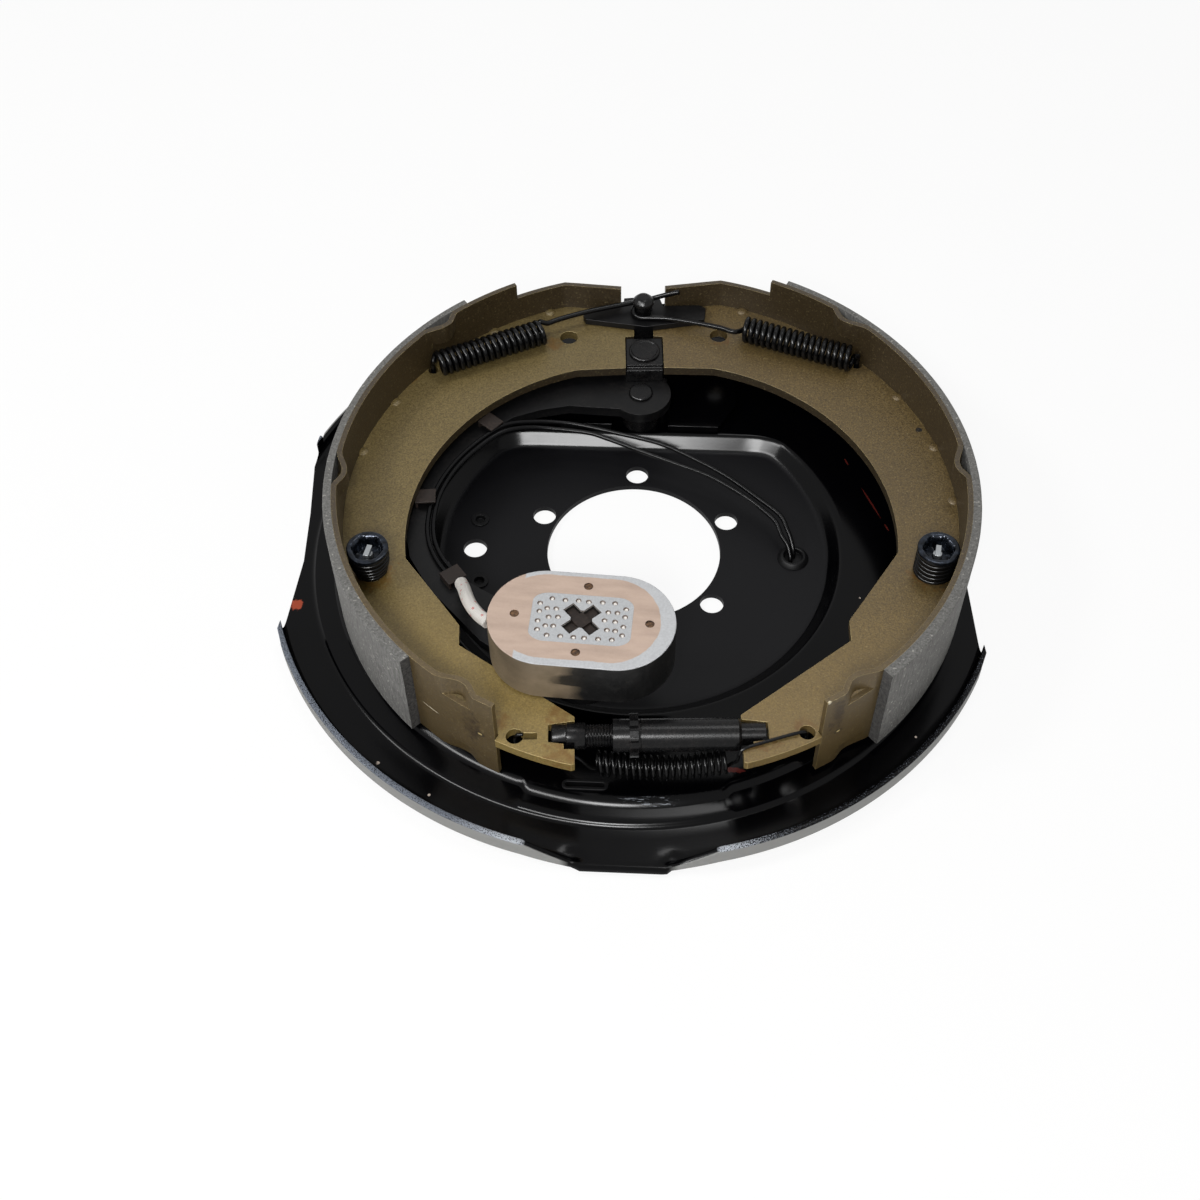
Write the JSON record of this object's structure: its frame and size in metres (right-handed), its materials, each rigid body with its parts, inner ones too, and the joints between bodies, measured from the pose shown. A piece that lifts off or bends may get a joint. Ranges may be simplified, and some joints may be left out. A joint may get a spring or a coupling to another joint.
{
  "type": "trailer brake assembly",
  "caption": "Electric drum brake on a dished backing plate: two lined shoes, lever with magnet, springs and screw adjuster.",
  "frame": {"origin": "centre of the hub hole on the back mounting face", "axes": "+Z towards the drum, +Y from the hub towards the anchor pin, +X to the right seen from the drum"},
  "size_m": [0.3268, 0.3456, 0.0626],
  "materials": {
    "black_lacquer": "glossy black dip paint",
    "black_steel": "black oxide, oiled",
    "bright_steel": "zinc plated",
    "shoe_lacquer": "olive-gold lacquer over steel",
    "lining": "moulded friction material, ground outside",
    "magnet_face": "copper-brown friction face in a black shell",
    "core_plate": "dimpled steel",
    "rubber": "moulded rubber",
    "lead": "black insulation",
    "woven": "white woven sleeve with red flecks"
  },
  "bodies": {
    "plate": {"backing_plate": "black_lacquer", "anchor_reinforcement": "black_lacquer", "anchor_pin": "black_steel", "shoe_guide_plate": "black_steel", "slot_plug": "rubber", "hole_plugs": "rubber", "lead_grommet": "rubber", "lever_stud": "black_steel", "left_hold_down_pin": "bright_steel", "left_hold_down_spring": "black_steel", "left_hold_down_cup": "black_steel", "right_hold_down_pin": "bright_steel", "right_hold_down_spring": "black_steel", "right_hold_down_cup": "black_steel", "adjusting_screw": "black_steel", "left_return_spring": "black_steel", "right_return_spring": "black_steel", "adjuster_spring": "black_steel"},
    "lever": {"lever_arm": "black_steel", "actuating_block": "black_steel", "block_rivet": "black_steel", "lead_clips": "black_steel", "magnet_pin": "black_steel", "magnet_clip": "black_steel", "magnet_spring": "bright_steel", "magnet_lead_a": "lead", "magnet_lead_b": "lead"},
    "magnet": {"magnet_case": "magnet_face", "magnet_core_plate": "core_plate", "magnet_rivets": "core_plate", "lead_sleeve": "woven"},
    "left_shoe": {"left_shoe_web": "shoe_lacquer", "left_shoe_table": "shoe_lacquer", "left_lining": "lining"},
    "right_shoe": {"right_shoe_web": "shoe_lacquer", "right_shoe_table": "shoe_lacquer", "right_lining": "lining"},
    "socket": {"adjuster_socket": "black_steel"},
    "star": {"star_wheel": "black_steel"}
  },
  "joints": [
    {"name": "lever_swing", "type": "hinge", "parent": "plate", "child": "lever", "pos_m": [0.0004, 0.0815, 0.0255], "axis": [0, 0, 1], "range_deg": [0, 6], "stiffness_Nm_per_rad": 3, "deforming": ["magnet_lead_a", "magnet_lead_b"]},
    {"name": "left_shoe_spread", "type": "hinge", "parent": "plate", "child": "left_shoe", "pos_m": [-0.02829, -0.12935, 0.0351], "axis": [0, 0, 1], "range_deg": [0, 0.8], "deforming": ["left_return_spring", "left_hold_down_spring"]},
    {"name": "star_turn", "type": "hinge", "parent": "socket", "child": "star", "pos_m": [0.00466, -0.12745, 0.0351], "axis": [0.9983, 0.0576, 0], "range_deg": [-90, 720]},
    {"name": "socket_slide", "type": "slide", "parent": "plate", "child": "socket", "axis": [0.9983, 0.0576, 0], "range_m": [-0.00031, 0.00254], "deforming": ["adjuster_spring"]},
    {"name": "right_shoe_pivot", "type": "hinge", "parent": "plate", "child": "right_shoe", "pos_m": [0, 0.127, 0.0351], "axis": [0, 0, 1], "range_deg": [-0.1, 0.62], "deforming": ["right_return_spring", "right_hold_down_spring"]},
    {"name": "magnet_float", "type": "slide", "parent": "lever", "child": "magnet", "axis": [0, 0, 1], "range_m": [-0.0008, 0], "stiffness_N_per_m": 1500, "springref_m": 0.006, "deforming": ["magnet_spring", "lead_sleeve"]}
  ],
  "couplings": [
    {"joint": "left_shoe_spread", "follows": "lever_swing", "ratio": 0.1276},
    {"joint": "star_turn", "follows": "socket_slide", "rad_per_m": 4947.3},
    {"joint": "right_shoe_pivot", "follows": "socket_slide", "rad_per_m": 3.9324}
  ]
}
